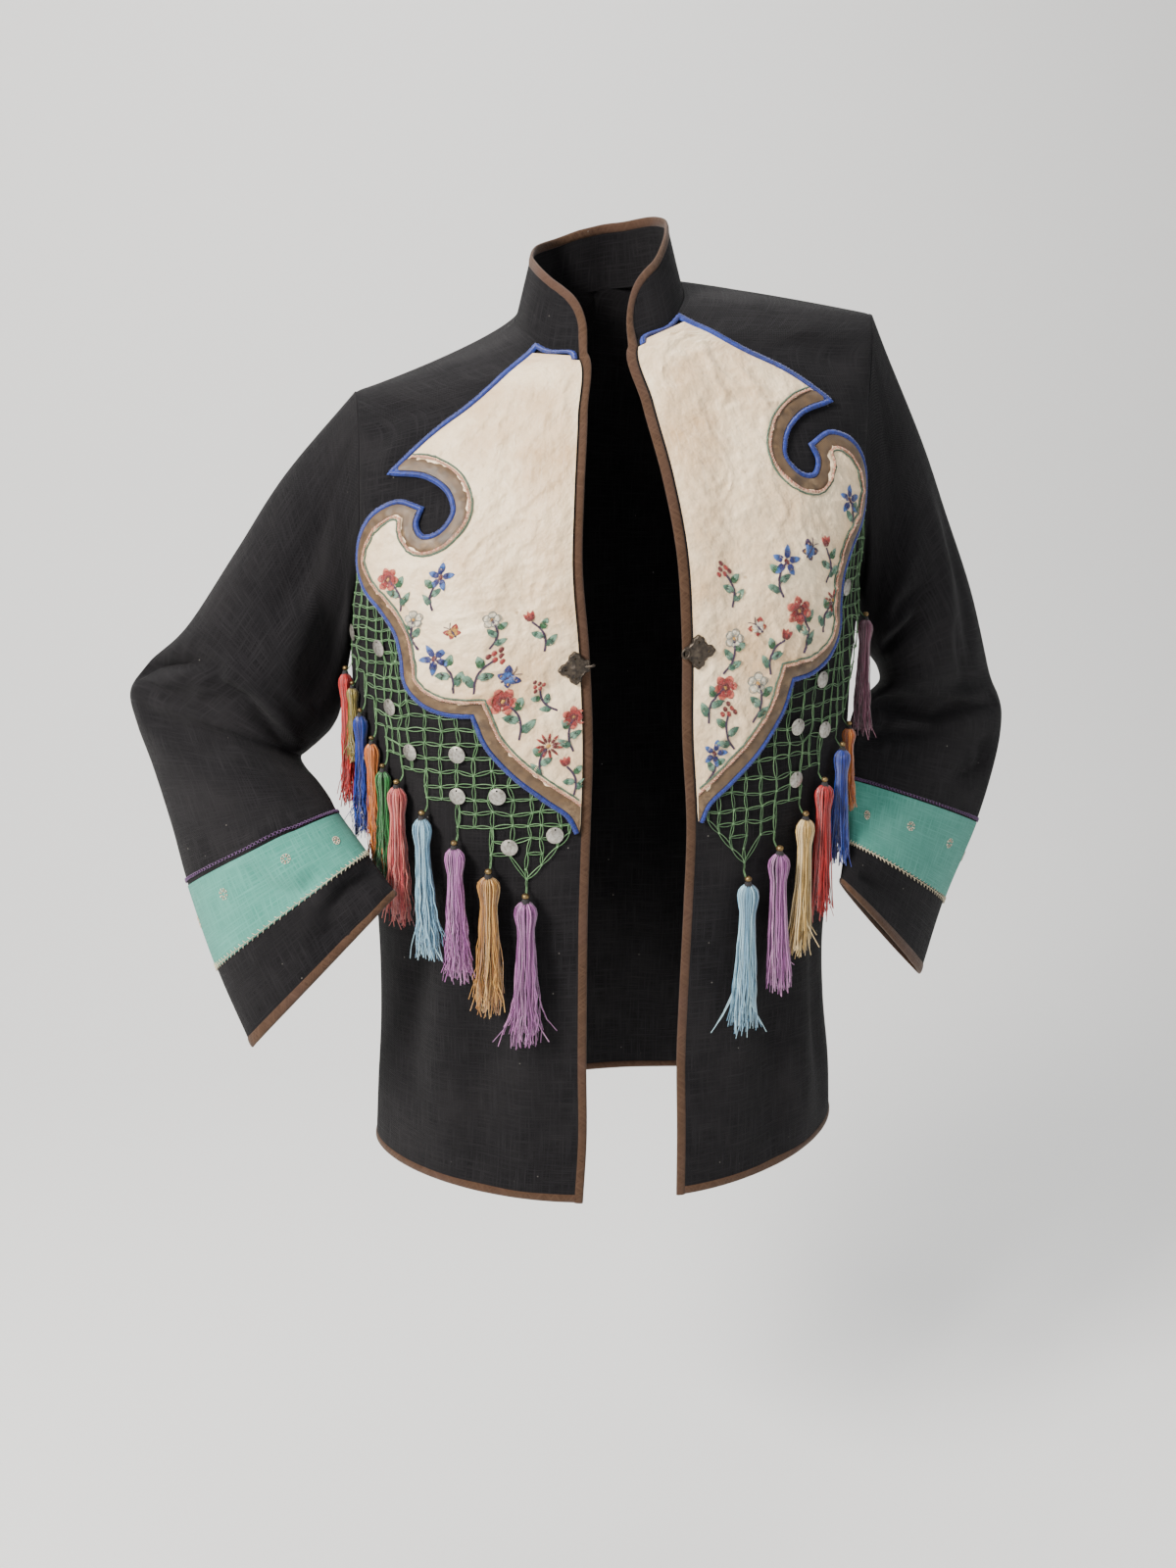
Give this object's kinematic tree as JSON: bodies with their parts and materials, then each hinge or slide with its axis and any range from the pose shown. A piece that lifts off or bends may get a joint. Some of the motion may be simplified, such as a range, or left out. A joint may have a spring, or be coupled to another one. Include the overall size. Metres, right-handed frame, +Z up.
{
  "type": "embroidered jacket",
  "caption": "Open-fronted dark jacket with a stand collar, appliqued satin yoke, knotted net with silk tassels, and banded sleeves.",
  "frame": {"origin": "middle of the neck's base, level with the shoulder line, where the wearer's shoulders hold the jacket", "axes": "+Z up, the open front faces -Y, the wearer's right side is -X"},
  "size_m": [0.7002, 0.2539, 0.7095],
  "materials": {
    "cloth": "matt dark hemp or cotton cloth with a fine slubbed weave",
    "satin": "cream satin with silk embroidery",
    "ribbon": "brown braid ribbon with couched lines",
    "edging": "blue corded satin edging",
    "binding": "dark brown bias binding",
    "band": "teal woven cotton with small rosettes",
    "net": "green knotted silk cord",
    "silver": "tarnished silver discs",
    "bronze": "dark bronze, lobed",
    "thread_lilac": "loose silk threads",
    "thread_gold": "loose silk threads",
    "thread_sky": "loose silk threads",
    "thread_coral": "loose silk threads",
    "thread_green": "loose silk threads",
    "thread_orange": "loose silk threads",
    "thread_blue": "loose silk threads",
    "thread_olive": "loose silk threads",
    "thread_red": "loose silk threads",
    "thread_straw": "loose silk threads",
    "thread_mauve": "loose silk threads"
  },
  "bodies": {
    "root": {"front_panel_right": "cloth", "sleeve_upper_right": "cloth", "sleeve_band_right": "band", "sleeve_cuff_right": "cloth", "cuff_binding_right": "binding", "hem_binding_right": "binding", "yoke_right": "satin", "yoke_edging_right": "edging", "yoke_ribbon_right": "ribbon", "net_right": "net", "clasp_right": "bronze", "disc_right_1": "silver", "disc_right_2": "silver", "disc_right_3": "silver", "disc_right_4": "silver", "disc_right_5": "silver", "disc_right_6": "silver", "disc_right_7": "silver", "disc_right_8": "silver", "disc_right_9": "silver", "tassel_right_1": "thread_lilac", "tassel_right_2": "thread_gold", "tassel_right_3": "thread_lilac", "tassel_right_4": "thread_sky", "tassel_right_5": "thread_coral", "tassel_right_6": "thread_green", "tassel_right_7": "thread_orange", "tassel_right_8": "thread_blue", "tassel_right_9": "thread_olive", "tassel_right_10": "thread_red", "front_panel_left": "cloth", "sleeve_upper_left": "cloth", "sleeve_band_left": "band", "sleeve_cuff_left": "cloth", "cuff_binding_left": "binding", "hem_binding_left": "binding", "yoke_left": "satin", "yoke_edging_left": "edging", "yoke_ribbon_left": "ribbon", "net_left": "net", "clasp_left": "bronze", "disc_left_1": "silver", "disc_left_2": "silver", "disc_left_3": "silver", "disc_left_4": "silver", "disc_left_5": "silver", "tassel_left_1": "thread_sky", "tassel_left_2": "thread_lilac", "tassel_left_3": "thread_straw", "tassel_left_4": "thread_red", "tassel_left_5": "thread_blue", "tassel_left_6": "thread_orange", "tassel_left_7": "thread_mauve", "back_panel": "cloth", "hem_binding_back": "binding", "stand_collar": "cloth", "front_binding": "binding"}
  },
  "joints": []
}
